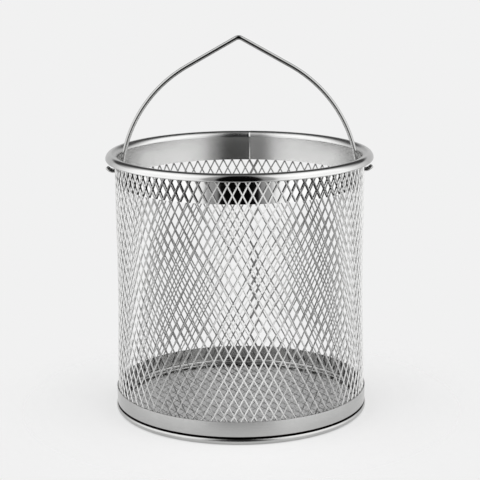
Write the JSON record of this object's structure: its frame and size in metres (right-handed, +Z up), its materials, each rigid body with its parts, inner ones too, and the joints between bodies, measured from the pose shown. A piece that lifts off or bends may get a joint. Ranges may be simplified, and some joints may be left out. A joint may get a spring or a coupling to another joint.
{
  "type": "fry basket",
  "caption": "Round deep fry basket of expanded steel mesh with a curled rim band, a beaded base ring and a pointed wire bail that swings over the rim.",
  "frame": {"origin": "on the table under the centre of the basket", "axes": "+Z up through the mouth, +X through the right-hand bail pivot, the pictured side faces -Y"},
  "size_m": [0.17, 0.17, 0.2408],
  "materials": {
    "sheet_steel": "satin stainless sheet, fine polishing lines along the hoop",
    "mesh_steel": "bright electropolished expanded stainless steel",
    "wire_steel": "bright drawn stainless wire"
  },
  "bodies": {
    "basket": {"rim_band": "sheet_steel", "side_mesh": "mesh_steel", "base_ring": "sheet_steel", "bottom_mesh": "mesh_steel"},
    "bail": {"bail": "wire_steel"}
  },
  "joints": [
    {"name": "bail_swing", "type": "hinge", "parent": "basket", "child": "bail", "pos_m": [0, 0, 0.1555], "axis": [1, 0, 0], "range_deg": [-80, 80]}
  ]
}
